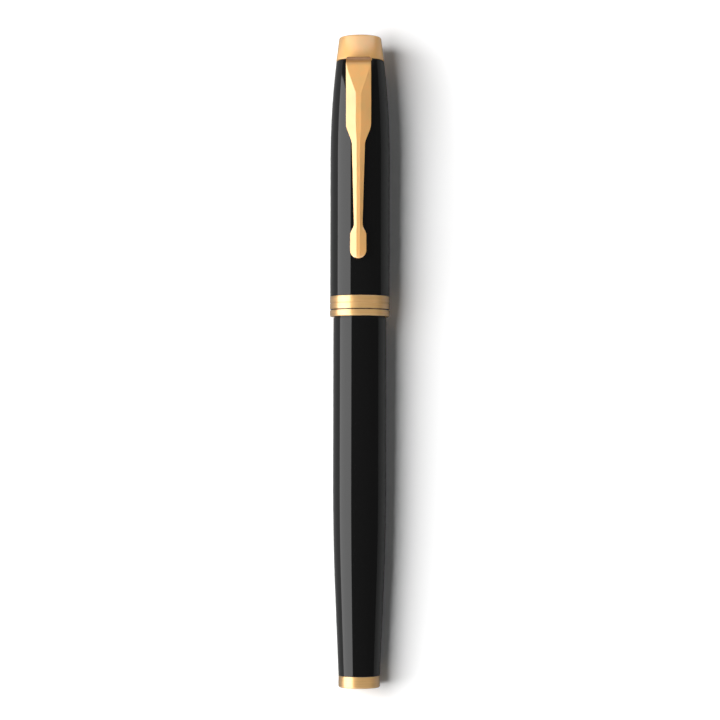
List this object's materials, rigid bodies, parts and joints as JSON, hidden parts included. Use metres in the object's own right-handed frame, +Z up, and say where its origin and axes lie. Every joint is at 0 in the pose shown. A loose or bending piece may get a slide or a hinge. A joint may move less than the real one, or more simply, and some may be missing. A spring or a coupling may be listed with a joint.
{
  "type": "rollerball pen",
  "caption": "Capped rollerball pen: lacquered barrel and pull-off cap with metal bands, crown and spring clip, screw-on barrel and sprung refill.",
  "frame": {"origin": "on the surface that the pen lies on, under the middle of its length", "axes": "+Y along the pen from its closed tail to the cap's crown, +Z up through the clip, +X to the right of the clip as seen from above with the crown away"},
  "size_m": [0.0128, 0.1386, 0.0143],
  "materials": {
    "black_lacquer": "deep gloss black lacquer over brass",
    "gold_polished": "polished gold plate",
    "gold_satin": "gold plate, fine turned satin",
    "liner_plastic": "moulded",
    "grip_plastic": "moulded, semi-gloss",
    "raw_brass": "turned brass",
    "steel": "turned stainless steel",
    "spring_steel": "drawn wire",
    "carbide": "ground tungsten carbide",
    "refill_tube_plastic": "extruded, pale grey",
    "refill_black_plastic": "moulded",
    "ink_fibre": "bonded fibre soaked with ink"
  },
  "bodies": {
    "section": {"thread_collar": "raw_brass", "grip_ring": "gold_polished", "grip_section": "grip_plastic", "nose_cone": "gold_polished"},
    "snap_ring": {"snap_ring": "spring_steel"},
    "cap": {"cap_tube": "black_lacquer", "cap_band": "gold_satin", "cap_liner": "liner_plastic", "cap_crown": "gold_polished", "crown_screw": "steel", "clip_ring": "gold_polished"},
    "clip": {"clip_arm": "gold_polished"},
    "spring": {"refill_spring": "spring_steel"},
    "barrel": {"barrel_tube": "black_lacquer", "barrel_bush": "raw_brass", "tail_band": "gold_satin", "tail_plug": "raw_brass"},
    "refill": {"refill_tube": "refill_tube_plastic", "refill_rear_plug": "refill_black_plastic", "refill_holder": "refill_black_plastic", "refill_tip": "steel", "feed_rod": "ink_fibre", "ink_reservoir": "ink_fibre"},
    "ball": {"tip_ball": "carbide"}
  },
  "joints": [
    {"name": "cap_turn", "type": "hinge", "parent": "section", "child": "snap_ring", "pos_m": [0, 0.01075, 0.00638], "axis": [0, 1, 0], "continuous": true},
    {"name": "cap_pull", "type": "slide", "parent": "snap_ring", "child": "cap", "axis": [0, 1, 0], "range_m": [0, 0.06]},
    {"name": "clip_flex", "type": "hinge", "parent": "cap", "child": "clip", "pos_m": [0, 0.0638, 0.012], "axis": [-1, 0, 0], "range_deg": [0, 4], "stiffness_Nm_per_rad": 2.5},
    {"name": "barrel_turn", "type": "hinge", "parent": "spring", "child": "barrel", "pos_m": [0, -0.02925, 0.00638], "axis": [0, -1, 0], "range_deg": [0, 3240]},
    {"name": "barrel_travel", "type": "slide", "parent": "section", "child": "spring", "axis": [0, -1, 0], "range_m": [0, 0.00725]},
    {"name": "refill_float", "type": "slide", "parent": "section", "child": "refill", "axis": [0, -1, 0], "range_m": [0, 0.001], "stiffness_N_per_m": 900, "springref_m": -0.0012, "deforming": ["refill_spring"]},
    {"name": "ball_roll", "type": "hinge", "parent": "refill", "child": "ball", "pos_m": [0, 0.05824, 0.00638], "axis": [1, 0, 0], "continuous": true}
  ],
  "couplings": [
    {"joint": "barrel_travel", "follows": "barrel_turn", "m_per_rad": 0.00012732}
  ]
}
